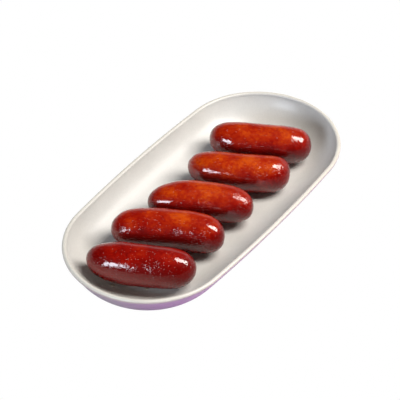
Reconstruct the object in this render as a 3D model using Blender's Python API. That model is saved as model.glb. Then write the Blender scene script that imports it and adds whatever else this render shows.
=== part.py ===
"""Oblong gulab jamun in a shallow oval serving dish.

Metres, +Z up. The origin is the middle of the dish's base, +X runs along the dish.
Five soft fried dumplings lie side by side on the dish's floor, slanting across it.
"""

import math

import bmesh
import bpy
import numpy as np

# Dish: round ends and long sides that bow out a little. The lip is a bead, and the wall
# starts under its middle, and curves down to a flat base outside and a flat floor inside.
DISH_LENGTH = 0.250
DISH_WIDTH = 0.1218
DISH_HEIGHT = 0.024
END_RADIUS = 0.0587          # of the rim at each end
LIP_WIDTH = 0.0034
FLOOR_THICK = 0.0045
BASE_INSET = 0.0243          # from the rim in to the flat base
FLOOR_INSET = 0.0280         # from the rim in to the flat floor
OUTER_SWEEP = math.radians(59)  # how much of a quarter ellipse the wall's outside takes up
INNER_SWEEP = math.radians(72)  # and its inside
FOOT_ANGLE = math.radians(11)   # where the outer curve starts, which leaves a low foot
END_STEPS = 21               # points round each end
SIDE_STEPS = 9               # points along each side
WALL_STEPS = 9               # rings up the outside, and down the inside
LIP_STEPS = 9

# Jamun
SEAT_GAP = 0.0003            # between a jamun and the dish's floor
SAG = 0.0004                 # how far its own weight flattens the underside
ROUND_STEPS = 24
LENGTH_STEPS = 17

# One line each, from the dish's left end to its right end. Place is the middle on the floor.
# A nose of 2 is elliptical and a higher one blunter. Bend bows the middle towards +Y, and
# taper makes the +Y end thicker (below 0) or the -Y end thicker (above 0).
JAMUNS = [
    dict(place=(-0.0832, -0.0058), heading=-64.4, length=0.0753, width=0.0289,
         back_nose=3.0, front_nose=4.8, bend=-0.0015, taper=-0.01, swell=0.4),
    dict(place=(-0.0448, -0.0005), heading=-62.2, length=0.0784, width=0.0283,
         back_nose=4.6, front_nose=5.6, bend=0.0040, taper=-0.01, swell=1.9),
    dict(place=(-0.0080, -0.0017), heading=-60.4, length=0.0743, width=0.0281,
         back_nose=2.6, front_nose=5.2, bend=0.0033, taper=-0.08, swell=3.1),
    dict(place=(0.0362, -0.0032), heading=-62.8, length=0.0731, width=0.0269,
         back_nose=4.2, front_nose=6.4, bend=-0.0026, taper=0.035, swell=4.4),
    dict(place=(0.0715, 0.0022), heading=-63.5, length=0.0743, width=0.0275,
         back_nose=5.1, front_nose=5.0, bend=-0.0011, taper=0.03, swell=5.6),
]
SWELL = 0.012                # uneven thickness, as a share of the radius


def clear_scene():
    for old in list(bpy.data.objects):
        bpy.data.objects.remove(old, do_unlink=True)


def material(name, colour, roughness, coat=0.0):
    made = bpy.data.materials.new(name)
    made.use_nodes = True
    shader = made.node_tree.nodes["Principled BSDF"]
    shader.inputs["Base Color"].default_value = (*colour, 1.0)
    shader.inputs["Roughness"].default_value = roughness
    shader.inputs["Metallic"].default_value = 0.0
    shader.inputs["Coat Weight"].default_value = coat
    made.diffuse_color = (*colour, 1.0)
    return made


def skin(name, rings, finish, tips=None):
    """One closed solid through rings of equal length, capped flat or drawn out to two tips."""
    bm = bmesh.new()
    loops = [[bm.verts.new(point) for point in ring] for ring in rings]
    count = len(loops[0])
    for low, high in zip(loops, loops[1:]):
        for i in range(count):
            j = (i + 1) % count
            bm.faces.new((low[i], low[j], high[j], high[i]))
    caps = [bm.faces.new(loops[0]), bm.faces.new(loops[-1])]
    if tips:
        for cap, tip in zip(caps, tips):
            poked = bmesh.ops.poke(bm, faces=[cap])
            poked["verts"][0].co = tip
    bmesh.ops.recalc_face_normals(bm, faces=bm.faces)
    mesh = bpy.data.meshes.new(name)
    bm.to_mesh(mesh)
    bm.free()
    mesh.shade_smooth()
    mesh.set_sharp_from_angle(angle=math.radians(35))
    mesh.materials.append(finish)
    made = bpy.data.objects.new(name, mesh)
    bpy.context.scene.collection.objects.link(made)
    return made


def oval(inset, height):
    """A ring of the dish, moved in from the rim: round ends joined by long shallow arcs."""
    half_width = DISH_WIDTH / 2
    end_centre = DISH_LENGTH / 2 - END_RADIUS
    side_radius = (end_centre ** 2 + half_width ** 2 - END_RADIUS ** 2) / (2 * (half_width - END_RADIUS))
    side_centre = half_width - side_radius
    join = math.atan2(-side_centre, end_centre)
    ring = []
    for side in (1, -1):
        reach = END_RADIUS - inset
        for angle in np.linspace(-join, join, END_STEPS):
            x, y = end_centre + reach * math.cos(angle), reach * math.sin(angle)
            ring.append((side * x, side * y, height))
        reach = side_radius - inset
        for angle in np.linspace(join, math.pi - join, SIDE_STEPS)[1:-1]:
            x, y = reach * math.cos(angle), side_centre + reach * math.sin(angle)
            ring.append((side * x, side * y, height))
    return ring


def wall_curve(flat, top, angle, sweep):
    """A point of the wall at an angle from the flat. Each end is given as (inset, height)."""
    across = math.sin(angle) / math.sin(sweep)
    up = (1 - math.cos(angle)) / (1 - math.cos(sweep))
    return flat[0] + (top[0] - flat[0]) * across, flat[1] + (top[1] - flat[1]) * up


def dish(finish):
    lip = LIP_WIDTH / 2
    lip_centre = DISH_HEIGHT - lip
    under_lip = (lip, lip_centre - lip)
    inside_lip = (LIP_WIDTH, lip_centre)
    base = (BASE_INSET, 0.0)
    floor = (FLOOR_INSET, FLOOR_THICK)

    foot_inset, _ = wall_curve(base, under_lip, FOOT_ANGLE, OUTER_SWEEP)
    rings = [oval(foot_inset, 0.0)]
    for angle in np.linspace(FOOT_ANGLE, OUTER_SWEEP, WALL_STEPS):
        rings.append(oval(*wall_curve(base, under_lip, angle, OUTER_SWEEP)))
    for angle in np.linspace(1.5 * math.pi, 0, LIP_STEPS + 1)[1:]:
        rings.append(oval(lip * (1 + math.cos(angle)), lip_centre + lip * math.sin(angle)))
    for angle in np.linspace(INNER_SWEEP, 0, WALL_STEPS)[1:]:
        rings.append(oval(*wall_curve(floor, inside_lip, angle, INNER_SWEEP)))
    return skin("dish", rings, finish)


def jamun(name, shape, finish):
    """A sausage-shaped dumpling along its own X, with its flattened underside at height 0."""
    half = shape["length"] / 2
    thick = shape["width"] / 2
    axis_height = thick - SAG

    def centre(t):
        return np.array([half * t, shape["bend"] * (0.5 - t * t), axis_height])

    rings = []
    for step in np.linspace(-1, 1, LENGTH_STEPS + 2)[1:-1]:
        t = math.sin(step * math.pi / 2)
        nose = shape["back_nose"] if t < 0 else shape["front_nose"]
        radius = thick * math.sqrt(1 - abs(t) ** nose) * (1 + shape["taper"] * t)
        ring = []
        for turn in np.linspace(0, math.tau, ROUND_STEPS, endpoint=False):
            wave = math.sin(2 * turn + shape["swell"]) * math.cos(2.4 * t + shape["swell"])
            reach = radius * (1 + SWELL * wave)
            point = centre(t) + reach * np.array([0.0, math.cos(turn), math.sin(turn)])
            point[2] = max(point[2], 0.0)
            ring.append(point)
        rings.append(ring)
    made = skin(name, rings, finish, tips=(centre(-1), centre(1)))
    made.location = (*shape["place"], FLOOR_THICK + SEAT_GAP)
    made.rotation_euler = (0.0, 0.0, math.radians(shape["heading"]))
    return made


clear_scene()
glaze = material("dish_glaze", (0.62, 0.60, 0.56), roughness=0.3, coat=0.3)
fried = material("fried_dough", (0.38, 0.035, 0.008), roughness=0.35, coat=1.0)
dish(glaze)
for number, shape in enumerate(JAMUNS, start=1):
    jamun(f"gulab_jamun_{number}", shape, fried)
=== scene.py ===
import math

import bmesh
import bpy
from mathutils import Matrix, Vector, noise


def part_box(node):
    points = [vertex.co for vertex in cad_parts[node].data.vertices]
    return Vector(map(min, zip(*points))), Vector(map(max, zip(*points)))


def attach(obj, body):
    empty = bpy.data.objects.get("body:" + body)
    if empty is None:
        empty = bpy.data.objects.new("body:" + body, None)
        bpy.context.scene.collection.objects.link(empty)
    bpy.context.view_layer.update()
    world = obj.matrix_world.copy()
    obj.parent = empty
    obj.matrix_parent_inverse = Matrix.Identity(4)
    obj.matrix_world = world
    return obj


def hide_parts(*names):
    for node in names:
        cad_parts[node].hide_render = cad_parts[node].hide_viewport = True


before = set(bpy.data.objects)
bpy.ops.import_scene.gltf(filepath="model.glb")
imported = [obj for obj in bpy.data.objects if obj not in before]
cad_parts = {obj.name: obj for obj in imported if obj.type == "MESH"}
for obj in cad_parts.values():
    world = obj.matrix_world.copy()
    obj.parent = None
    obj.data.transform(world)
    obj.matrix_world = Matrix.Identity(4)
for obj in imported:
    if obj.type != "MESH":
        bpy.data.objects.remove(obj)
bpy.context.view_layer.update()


# Serving dish. One piece of stoneware, pressed into an oval tray with a curved
# wall and a rounded lip, then dipped in two glazes: satin greige inside and lilac outside.
# Where they meet on the lip the glaze runs thin and breaks to cream, and a taupe line is coloured in along
# the lip's outer underside.

def linear(code):
    """sRGB hex to the linear colour that Blender's sockets take."""
    channels = [int(code[i:i + 2], 16) / 255 for i in (1, 3, 5)]
    return (*[c / 12.92 if c <= 0.04045 else ((c + 0.055) / 1.055) ** 2.4 for c in channels], 1.0)


def node(tree, kind, settings=None, links=None):
    """Adds one shader node. A setting is for the node, for a socket or, as stops, for its ramp."""
    made = tree.nodes.new(kind)
    for key, value in (settings or {}).items():
        if key == "stops":
            points = made.color_ramp.elements
            while len(points) < len(value):
                points.new(0.5)
            for point, (position, colour) in zip(points, value):
                point.position = position
                point.color = colour
        elif isinstance(key, str) and hasattr(made, key):
            setattr(made, key, value)
        else:
            made.inputs[key].default_value = value
    for key, source in (links or {}).items():
        tree.links.new(source, made.inputs[key])
    return made


def new_material(name):
    made = bpy.data.materials.new(name)
    made.use_nodes = True
    made.node_tree.nodes.clear()
    return made, made.node_tree


def grey(level):
    return (level, level, level, 1.0)


def place_piece(name, bm, finish):
    """Turns a finished bmesh into a smooth piece at the origin that rides on the part."""
    mesh = bpy.data.meshes.new(name)
    bm.to_mesh(mesh)
    bm.free()
    mesh.shade_smooth()
    mesh.materials.append(finish)
    piece = bpy.data.objects.new(name, mesh)
    bpy.context.scene.collection.objects.link(piece)
    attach(piece, "root")
    return piece


dish_low, dish_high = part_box("dish")
half_length = (dish_high[0] - dish_low[0]) / 2
half_width = (dish_high[1] - dish_low[1]) / 2
dish_height = dish_high[2] - dish_low[2]
end_radius = 0.0587         # of the rim at each end
lip = 0.0017                # the bead's radius
lip_centre = dish_height - lip
floor_thick = 0.0045
base_inset = 0.0243         # from the rim in to the flat base
floor_inset = 0.0280        # from the rim in to the flat floor
outer_sweep = math.radians(59)
inner_sweep = math.radians(72)
foot_angle = math.radians(11)
wall_steps = 30
lip_steps = 27
lip_zone = 0.9              # colour zone where the lip's underside starts


def wall_curve(flat, top, angle, sweep):
    """A point of the wall at an angle from the flat. Each end is given as (inset, height)."""
    across = math.sin(angle) / math.sin(sweep)
    up = (1 - math.cos(angle)) / (1 - math.cos(sweep))
    return flat[0] + (top[0] - flat[0]) * across, flat[1] + (top[1] - flat[1]) * up


bm = bmesh.new()
zone = bm.verts.layers.float.new("zone")      # 1 outside, falling over the lip to 0 inside
section = []


def add_point(inset, height, colour_zone):
    section.append(bm.verts.new((half_length - inset, 0, height)))
    section[-1][zone] = colour_zone


base = (base_inset, 0.0)
under_lip = (lip, lip_centre - lip)
dish_floor = (floor_inset, floor_thick)
inside_lip = (2 * lip, lip_centre)
add_point(wall_curve(base, under_lip, foot_angle, outer_sweep)[0], 0.0, 1.0)
for step in range(wall_steps + 1):
    angle = foot_angle + (outer_sweep - foot_angle) * step / wall_steps
    add_point(*wall_curve(base, under_lip, angle, outer_sweep), 1.0)
for step in range(1, lip_steps + 1):
    angle = 1.5 * math.pi * (1 - step / lip_steps)
    inset, height = lip * (1 + math.cos(angle)), lip_centre + lip * math.sin(angle)
    add_point(inset, height, lip_zone * (1 - step / lip_steps))
for step in range(1, wall_steps + 1):
    angle = inner_sweep * (1 - step / wall_steps)
    add_point(*wall_curve(dish_floor, inside_lip, angle, inner_sweep), 0.0)
line = [bm.edges.new(pair) for pair in zip(section, section[1:])]

end_centre = half_length - end_radius
side_radius = (end_centre ** 2 + half_width ** 2 - end_radius ** 2) / (2 * (half_width - end_radius))
side_centre = half_width - side_radius
join = math.atan2(-side_centre, end_centre)      # the turn at which an end meets a side
side_sweep = math.pi - 2 * join
end_steps = 64
side_steps = 20
for x, y, sweep, steps in ((end_centre, 0, join, end_steps // 2),
                           (0, side_centre, side_sweep, side_steps),
                           (-end_centre, 0, 2 * join, end_steps),
                           (0, -side_centre, side_sweep, side_steps),
                           (end_centre, 0, join, end_steps // 2)):
    turned = bmesh.ops.spin(bm, geom=section + line, cent=(x, y, 0), axis=(0, 0, 1), angle=sweep,
                            steps=steps, use_duplicate=False)["geom_last"]
    section = [v for v in turned if isinstance(v, bmesh.types.BMVert)]
    line = [e for e in turned if isinstance(e, bmesh.types.BMEdge)]
bmesh.ops.remove_doubles(bm, verts=bm.verts, dist=1e-5)
bmesh.ops.holes_fill(bm, edges=[e for e in bm.edges if e.is_boundary], sides=0)
bmesh.ops.recalc_face_normals(bm, faces=bm.faces)

# Stoneware glaze, fired: a hard satin gloss over a body that shows warm where it is thin.
# The eye gets a soft sheen, faint clouding some 20 mm across and fine specks of iron. The
# lilac ran thicker towards one side, and is greyer where it is thin.
glaze, tree = new_material("stoneware_glaze")
place = node(tree, "ShaderNodeTexCoord").outputs["Object"]
cloud = node(tree, "ShaderNodeTexNoise", {"Scale": 45.0, "Detail": 4.0, "Roughness": 0.6},
             {"Vector": place})
grain = node(tree, "ShaderNodeTexNoise", {"Scale": 900.0, "Detail": 3.0, "Roughness": 0.7},
             {"Vector": place})
where = node(tree, "ShaderNodeAttribute", {"attribute_name": "zone"})
wander = node(tree, "ShaderNodeMath", {"operation": "MULTIPLY_ADD", 1: 0.08, 2: -0.04},
              {"Value": cloud.outputs["Fac"]})
edge = node(tree, "ShaderNodeMath", {"operation": "ADD"},
            {0: where.outputs["Fac"], 1: wander.outputs["Value"]})
# Between 0.57 and 0.64 both ramps colour a taupe line along the lip's outer underside, where the lilac
# begins.
thin = node(tree, "ShaderNodeValToRGB", {"stops": [
    (0.08, linear("#cccbc7")), (0.30, linear("#cfccc3")), (0.48, linear("#cbc7bc")),
    (0.57, linear("#b0a099")), (0.64, linear("#998991")), (0.95, linear("#94828f"))]},
    {"Fac": edge.outputs["Value"]})
thick = node(tree, "ShaderNodeValToRGB", {"stops": [
    (0.08, linear("#cccbc7")), (0.30, linear("#d2cec6")), (0.48, linear("#cfcbc1")),
    (0.57, linear("#ac98a2")), (0.64, linear("#9b719d")), (0.95, linear("#975da1"))]},
    {"Fac": edge.outputs["Value"]})
side = node(tree, "ShaderNodeSeparateXYZ", {}, {"Vector": place})
ran = node(tree, "ShaderNodeMapRange",
           {"From Min": -0.010, "From Max": -0.056, "To Min": 0.0, "To Max": 1.0},
           {"Value": side.outputs["Y"]})
colour = node(tree, "ShaderNodeMix", {"data_type": "RGBA"},
              {0: ran.outputs["Result"], 6: thin.outputs["Color"], 7: thick.outputs["Color"]})
soft = node(tree, "ShaderNodeValToRGB", {"stops": [(0.3, grey(0.94)), (0.7, grey(1.0))]},
            {"Fac": cloud.outputs["Fac"]})
fine = node(tree, "ShaderNodeValToRGB", {"stops": [(0.35, grey(0.95)), (0.6, grey(1.0))]},
            {"Fac": grain.outputs["Fac"]})
tint = node(tree, "ShaderNodeMix", {"data_type": "RGBA", "blend_type": "MULTIPLY", 0: 1.0},
            {6: colour.outputs[2], 7: soft.outputs["Color"]})
tint = node(tree, "ShaderNodeMix", {"data_type": "RGBA", "blend_type": "MULTIPLY", 0: 1.0},
            {6: tint.outputs[2], 7: fine.outputs["Color"]})
sheen = node(tree, "ShaderNodeMapRange",
             {"From Min": 0.3, "From Max": 0.7, "To Min": 0.30, "To Max": 0.40},
             {"Value": cloud.outputs["Fac"]})
ripple = node(tree, "ShaderNodeBump", {"Strength": 0.15, "Distance": 0.0006},
              {"Height": cloud.outputs["Fac"]})
shader = node(tree, "ShaderNodeBsdfPrincipled", {"IOR": 1.5, "Metallic": 0.0},
              {"Base Color": tint.outputs[2], "Roughness": sheen.outputs["Result"],
               "Normal": ripple.outputs["Normal"]})
node(tree, "ShaderNodeOutputMaterial", {}, {"Surface": shader.outputs["BSDF"]})

dish = place_piece("serving_dish", bm, glaze)
dish.data.set_sharp_from_angle(angle=math.radians(40))
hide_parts("dish")


# Gulab jamun. Balls of milk-solid dough rolled into short sausages, fried dark and soaked in
# sugar syrup. Each one is a little bent, tapered and lumpy in its own way, and its crust has
# puckered in places, with tiny pores. They lie on the dish's floor and sag slightly onto it.

jamuns = {
    "gulab_jamun_1": dict(tone=-0.27, heading=-64.4, length=0.0753, width=0.0289, back_nose=3.0,
                          front_nose=4.8, bend=-0.0015, taper=-0.01, swell=0.4),
    "gulab_jamun_2": dict(tone=-0.04, heading=-62.2, length=0.0784, width=0.0283, back_nose=4.6,
                          front_nose=5.6, bend=0.0040, taper=-0.01, swell=1.9),
    "gulab_jamun_3": dict(tone=0.04, heading=-60.4, length=0.0743, width=0.0281, back_nose=2.6,
                          front_nose=5.2, bend=0.0033, taper=-0.08, swell=3.1),
    "gulab_jamun_4": dict(tone=0.12, heading=-62.8, length=0.0731, width=0.0269, back_nose=4.2,
                          front_nose=6.4, bend=-0.0026, taper=0.035, swell=4.4),
    "gulab_jamun_5": dict(tone=0.02, heading=-63.5, length=0.0743, width=0.0275, back_nose=5.1,
                          front_nose=5.0, bend=-0.0011, taper=0.03, swell=5.6),
}
sag = 0.0004                # how far its own weight flattens the underside
swell_share = 0.012         # uneven thickness, as a share of the radius
round_steps = 250
length_steps = 260

# How much each part of the crust's relief stands out or sinks in, in metres.
lump_height = 0.00028
dent_height = 0.00007
wrinkle_height = (0.00002, 0.00012)     # on smooth skin, and what puckering adds
crease_height = 0.00006
pimple_height = 0.00010
pore_depth = 0.00012
relief_depth = 0.00010                  # keeps the tallest bumps near the shape's own surface


def smooth_step(low, high, value):
    share = min(max((value - low) / (high - low), 0.0), 1.0)
    return share * share * (3 - 2 * share)


def puckered(point, t, normal, seed):
    """Share of wrinkled skin at a point, from 0 to 1. The ends and the flanks have most."""
    patch = noise.noise(point / 0.007 - seed)
    return smooth_step(-0.15, 0.45, patch + 0.35 * smooth_step(0.50, 0.90, abs(t)) - 0.25 * normal.z)


def crust_relief(point, skin_share, seed):
    """How far the crust stands out at a point, in metres: lumps, wrinkles, pimples and pores."""
    lump = noise.noise(point / 0.012 + seed)
    dent = noise.noise(point / 0.005 - seed)
    wrinkle = noise.noise(Vector((point.x / 0.0016, point.y / 0.0011, point.z / 0.0011)) + seed)
    crease = noise.noise(point / 0.0006 - seed)
    near, spots = noise.voronoi(point / 0.0021 + seed)
    kind = noise.noise(spots[0] * 5.1)
    spot = pimple_height if kind > 0.0 else -pore_depth if kind < -0.30 else 0.0
    return (lump_height * lump + dent_height * dent
            + (wrinkle_height[0] + wrinkle_height[1] * skin_share) * wrinkle
            + crease_height * skin_share * crease + spot * smooth_step(0.30, 0.05, near[0]) - relief_depth)


# Milk-solid crust fried deep red-brown and soaked in syrup. Its upper faces are painted lighter
# and more orange for the light from above, and its sides darker red as painted shade, with
# pin-point dark pores. The syrup over it is a clear coat: glossy on smooth crust, broken into sparks where
# it is puckered.
crust, tree = new_material("syrup_soaked_crust")
place = node(tree, "ShaderNodeTexCoord").outputs["Object"]
tone = node(tree, "ShaderNodeAttribute", {"attribute_name": "tone"}).outputs["Fac"]
skin_share = node(tree, "ShaderNodeAttribute", {"attribute_name": "skin"}).outputs["Fac"]
mottle = node(tree, "ShaderNodeTexNoise", {"Scale": 380.0, "Detail": 5.0, "Roughness": 0.7},
              {"Vector": place})
grain = node(tree, "ShaderNodeTexNoise", {"Scale": 2200.0, "Detail": 1.0, "Roughness": 0.5},
             {"Vector": place})
mixed = node(tree, "ShaderNodeMath", {"operation": "MULTIPLY_ADD", 1: 0.9},
             {0: mottle.outputs["Fac"], 2: tone})
colour = node(tree, "ShaderNodeValToRGB", {"stops": [
    (0.25, linear("#6c0200")), (0.50, linear("#880901")), (0.75, linear("#a02203")),
    (0.98, linear("#bc4405"))]}, {"Fac": mixed.outputs["Value"]})
pores = node(tree, "ShaderNodeTexVoronoi", {"Scale": 420.0}, {"Vector": place})
pitted = node(tree, "ShaderNodeValToRGB", {"stops": [(0.05, grey(0.30)), (0.15, grey(1.0))]},
              {"Fac": pores.outputs["Distance"]})
colour = node(tree, "ShaderNodeMix", {"data_type": "RGBA", "blend_type": "MULTIPLY", 0: 1.0},
              {6: colour.outputs["Color"], 7: pitted.outputs["Color"]})
beads = node(tree, "ShaderNodeTexVoronoi", {"Scale": 640.0}, {"Vector": place})
round_bead = node(tree, "ShaderNodeMapRange",
                  {"interpolation_type": "SMOOTHSTEP", "From Min": 0.30, "From Max": 0.0,
                   "To Min": 0.0, "To Max": 2.2},
                  {"Value": beads.outputs["Distance"]})
pick = node(tree, "ShaderNodeSeparateColor", {}, {"Color": beads.outputs["Color"]})
kept = node(tree, "ShaderNodeMath", {"operation": "LESS_THAN", 1: 0.75}, {0: pick.outputs["Red"]})
bead = node(tree, "ShaderNodeMath", {"operation": "MULTIPLY"},
            {0: round_bead.outputs["Result"], 1: kept.outputs["Value"]})
share = node(tree, "ShaderNodeMath", {"operation": "MULTIPLY_ADD", 1: 0.85, 2: 0.15}, {0: skin_share})
rough_grain = node(tree, "ShaderNodeMath", {"operation": "MULTIPLY"},
                   {0: grain.outputs["Fac"], 1: share.outputs["Value"]})
relief = node(tree, "ShaderNodeMath", {"operation": "ADD"},
              {0: rough_grain.outputs["Value"], 1: bead.outputs["Value"]})
crust_bump = node(tree, "ShaderNodeBump", {"Strength": 1.0, "Distance": 0.00015},
                  {"Height": grain.outputs["Fac"]})
syrup_bump = node(tree, "ShaderNodeBump", {"Strength": 1.0, "Distance": 0.0001},
                  {"Height": relief.outputs["Value"]})
dull = node(tree, "ShaderNodeMapRange", {"From Min": 0.3, "From Max": 0.7, "To Min": 0.35, "To Max": 0.5},
            {"Value": mottle.outputs["Fac"]})
shader = node(tree, "ShaderNodeBsdfPrincipled",
              {"IOR": 1.45, "Metallic": 0.0, "Coat Weight": 1.0, "Coat Roughness": 0.03, "Coat IOR": 1.6,
               "Specular IOR Level": 0.06},
              {"Base Color": colour.outputs[2], "Roughness": dull.outputs["Result"],
               "Normal": crust_bump.outputs["Normal"], "Coat Normal": syrup_bump.outputs["Normal"]})
node(tree, "ShaderNodeOutputMaterial", {}, {"Surface": shader.outputs["BSDF"]})

for number, (name, shape) in enumerate(jamuns.items(), start=1):
    half = shape["length"] / 2
    thick = shape["width"] / 2
    seed = Vector((number * 3.7, number * 5.3, number * 7.9))
    bm = bmesh.new()
    tone_layer = bm.verts.layers.float.new("tone")
    skin_layer = bm.verts.layers.float.new("skin")
    bmesh.ops.create_uvsphere(bm, u_segments=round_steps, v_segments=length_steps, radius=1.0)
    for vert in bm.verts:
        t = max(-1.0, min(1.0, vert.co.z))
        turn = math.atan2(vert.co.y, vert.co.x)
        blunt = shape["back_nose"] if t < 0 else shape["front_nose"]
        radius = thick * math.sqrt(max(0.0, 1 - abs(t) ** blunt)) * (1 + shape["taper"] * t)
        wave = math.sin(2 * turn + shape["swell"]) * math.cos(2.4 * t + shape["swell"])
        reach = radius * (1 + swell_share * wave)
        vert.co = (half * t, shape["bend"] * (0.5 - t * t) + reach * math.cos(turn),
                   thick - sag + reach * math.sin(turn))
    bm.normal_update()
    outward = [vert.normal.copy() for vert in bm.verts]
    for vert, normal in zip(bm.verts, outward):
        t = vert.co.x / half
        vert[skin_layer] = puckered(vert.co, t, normal, seed)
        blotch = noise.noise(vert.co / 0.010 + seed)
        ends = smooth_step(0.45, 1.0, abs(t))
        # Faces that point up get a higher tone, lighter and more orange: painted light from above. The
        # sides stay darker red as painted shade.
        painted_top_light = smooth_step(0.1, 1.0, normal.z)
        vert[tone_layer] = shape["tone"] + 0.45 * painted_top_light + 0.25 * blotch - 0.12 * ends - 0.17
        vert.co += normal * crust_relief(vert.co, vert[skin_layer], seed)
        vert.co.z = max(vert.co.z, 0.0)
    heading = Matrix.Rotation(math.radians(shape["heading"]), 3, "Z")
    bmesh.ops.rotate(bm, verts=bm.verts, cent=(0, 0, 0), matrix=heading)
    low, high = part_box(name)
    xs = [vert.co.x for vert in bm.verts]
    ys = [vert.co.y for vert in bm.verts]
    bmesh.ops.translate(bm, verts=bm.verts, vec=((low[0] + high[0] - min(xs) - max(xs)) / 2,
                                                 (low[1] + high[1] - min(ys) - max(ys)) / 2, low[2]))
    bmesh.ops.recalc_face_normals(bm, faces=bm.faces)
    piece = place_piece(f"jamun_{number}", bm, crust)
    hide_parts(name)


# Sugar syrup that ran off the first jamun: a few clear beads on the dish's floor by its
# near side. They are glossy and nearly the colour of the glaze under them, so they show faintly.

syrup, tree = new_material("sugar_syrup")
shader = node(tree, "ShaderNodeBsdfPrincipled",
              {"Base Color": linear("#c6bfb2"), "Roughness": 0.08, "IOR": 1.45, "Coat Weight": 1.0,
               "Coat Roughness": 0.02, "Coat IOR": 1.6})
node(tree, "ShaderNodeOutputMaterial", {}, {"Surface": shader.outputs["BSDF"]})

# Place along the dish and across it, and radius.
syrup_drops = [(-0.0984, 0.0073, 0.0013), (-0.0985, 0.0059, 0.0008), (-0.0878, -0.0133, 0.0012),
               (-0.0871, -0.0145, 0.0008)]
drop_flatness = 0.4         # height over radius


def floor_height(x, y):
    """Height of the dish's inside at a place in either round end."""
    inset = end_radius - math.hypot(abs(x) - end_centre, y)
    across = min(max((floor_inset - inset) / (floor_inset - 2 * lip), 0.0), 1.0)
    angle = math.asin(across * math.sin(inner_sweep))
    return wall_curve(dish_floor, inside_lip, angle, inner_sweep)[1]


bm = bmesh.new()
for x, y, radius in syrup_drops:
    bead = Matrix.Diagonal((radius, radius, drop_flatness * radius, 1.0))
    bead = Matrix.Translation((x, y, floor_height(x, y))) @ bead
    bmesh.ops.create_icosphere(bm, subdivisions=4, radius=1.0, matrix=bead)
place_piece("syrup_drops", bm, syrup)


# Table and surroundings. A white table, a tall window high on the right, a small one low on
# the left, a pale wall behind and a dim room above.

table_bm = bmesh.new()
bmesh.ops.create_grid(table_bm, x_segments=1, y_segments=1, size=6.0)
table_mesh = bpy.data.meshes.new("white_table")
table_bm.to_mesh(table_mesh)
table_bm.free()
table = bpy.data.objects.new("white_table", table_mesh)
bpy.context.scene.collection.objects.link(table)
paint, tree = new_material("white_table_top")
matt = node(tree, "ShaderNodeBsdfDiffuse", {"Color": linear("#f4f4f4")})
glow = node(tree, "ShaderNodeEmission", {"Color": (1, 1, 1, 1), "Strength": 1.0})
ray = node(tree, "ShaderNodeLightPath")
seen = node(tree, "ShaderNodeMixShader", {},
            {"Fac": ray.outputs["Is Camera Ray"], 1: matt.outputs["BSDF"], 2: glow.outputs["Emission"]})
node(tree, "ShaderNodeOutputMaterial", {}, {"Surface": seen.outputs["Shader"]})
table_mesh.materials.append(paint)

scene = bpy.context.scene
world = bpy.data.worlds.new("dim_room")
scene.world = world
world.use_nodes = True
tree = world.node_tree
tree.nodes.clear()
way = node(tree, "ShaderNodeTexCoord").outputs["Generated"]
part = node(tree, "ShaderNodeSeparateXYZ", {}, {"Vector": way})
height = node(tree, "ShaderNodeValToRGB",
              {"stops": [(0.0, grey(0.6)), (0.2, grey(0.45)), (0.4, grey(0.015))]},
              {"Fac": part.outputs["Z"]})
behind = node(tree, "ShaderNodeVectorMath", {"operation": "DOT_PRODUCT", 1: (0.77, 0.64, 0.0)},
              {0: way})
far = node(tree, "ShaderNodeValToRGB", {"stops": [(0.0, grey(0.04)), (0.6, grey(1.0))]},
           {"Fac": behind.outputs["Value"]})
wall = node(tree, "ShaderNodeMix", {"data_type": "RGBA", "blend_type": "MULTIPLY", 0: 1.0},
            {6: height.outputs["Color"], 7: far.outputs["Color"]})
ray = node(tree, "ShaderNodeLightPath")
shown = node(tree, "ShaderNodeMix", {"data_type": "RGBA", 7: (1, 1, 1, 1)},
             {0: ray.outputs["Is Camera Ray"], 6: wall.outputs[2]})
back = node(tree, "ShaderNodeBackground", {"Strength": 1.0}, {"Color": shown.outputs[2]})
node(tree, "ShaderNodeOutputWorld", {}, {"Surface": back.outputs["Background"]})

centre = Vector((0, 0, dish_height))


def direction(turn, rise):
    """Unit vector towards a compass turn from +X and a rise above the table, in degrees."""
    turn, rise = math.radians(turn), math.radians(rise)
    return Vector((math.cos(turn) * math.cos(rise), math.sin(turn) * math.cos(rise), math.sin(rise)))


def window(name, turn, rise, away, size, radiance, tint):
    """A soft panel that faces the dish, given by the brightness that it shows."""
    lamp = bpy.data.lights.new(name, "AREA")
    lamp.shape = "RECTANGLE"
    lamp.size, lamp.size_y = size
    lamp.energy = radiance * math.pi * size[0] * size[1]
    lamp.color = linear(tint)[:3]
    made = bpy.data.objects.new(name, lamp)
    scene.collection.objects.link(made)
    made.location = centre + direction(turn, rise) * away
    made.rotation_euler = (-direction(turn, rise)).to_track_quat("-Z", "Y").to_euler()


window("high_window", turn=-52, rise=54, away=1.2, size=(0.46, 0.95),
       radiance=17.0, tint="#fffaf4")
window("low_window", turn=176, rise=23, away=1.2, size=(0.54, 0.36),
       radiance=16.0, tint="#e8f2ff")

camera_turn = math.radians(-54.69)
camera_rise = math.radians(40.53)
camera_away = 1.4
towards = Vector((math.sin(camera_turn) * math.cos(camera_rise),
                  -math.cos(camera_turn) * math.cos(camera_rise), math.sin(camera_rise)))
lens = bpy.data.cameras.new("camera")
lens.sensor_width = 36.0
lens.lens = 181.0
lens.shift_x = -0.0134
lens.shift_y = -0.0253
lens.clip_end = 50.0
camera = bpy.data.objects.new("camera", lens)
scene.collection.objects.link(camera)
camera.location = centre + towards * camera_away
camera.rotation_euler = (-towards).to_track_quat("-Z", "Y").to_euler()
scene.camera = camera
scene.view_settings.view_transform = "Standard"
